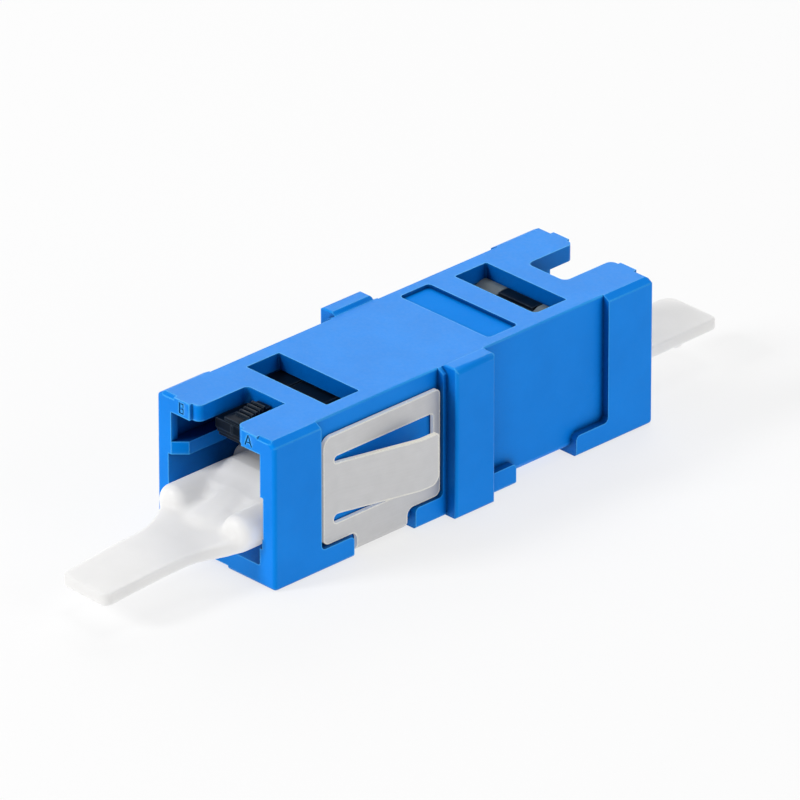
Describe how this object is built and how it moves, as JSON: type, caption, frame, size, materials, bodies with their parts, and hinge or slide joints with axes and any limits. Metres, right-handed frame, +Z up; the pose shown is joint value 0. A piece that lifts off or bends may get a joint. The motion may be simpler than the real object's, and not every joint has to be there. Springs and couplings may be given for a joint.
{
  "type": "fibre optic adapter",
  "caption": "Duplex fibre optic adapter with a moulded two-ended housing, sprung panel clip, split alignment sleeves, latch hooks and pull-out dust caps.",
  "frame": {"origin": "centre of the housing's underside, on the middle plane between the two port ends", "axes": "+Y along the ports towards the rear port, +X across the two fibre channels, +Z up towards the latch notches"},
  "size_m": [0.0116, 0.0472, 0.0093],
  "materials": {
    "blue_plastic": "fine satin moulded blue plastic",
    "spring_steel": "satin rolled stainless strip with bright cut edges",
    "black_plastic": "moulded black plastic",
    "natural_plastic": "natural light grey moulded plastic",
    "zirconia": "polished white zirconia",
    "white_cap": "soft white moulded polyethylene"
  },
  "bodies": {
    "adapter": {"housing": "blue_plastic", "mounting_clip": "spring_steel", "sleeve_holder_front": "black_plastic", "sleeve_holder_rear": "natural_plastic", "latch_hook_front": "black_plastic", "latch_hook_rear": "black_plastic", "sleeve_a": "zirconia", "sleeve_b": "zirconia"},
    "front_cap": {"dust_cap_front": "white_cap"},
    "rear_cap": {"dust_cap_rear": "white_cap"}
  },
  "joints": [
    {"name": "front_cap_pull", "type": "slide", "parent": "adapter", "child": "front_cap", "axis": [0, -1, 0], "range_m": [-0.0019, 0.018]},
    {"name": "rear_cap_pull", "type": "slide", "parent": "adapter", "child": "rear_cap", "axis": [0, 1, 0], "range_m": [0, 0.018]}
  ]
}
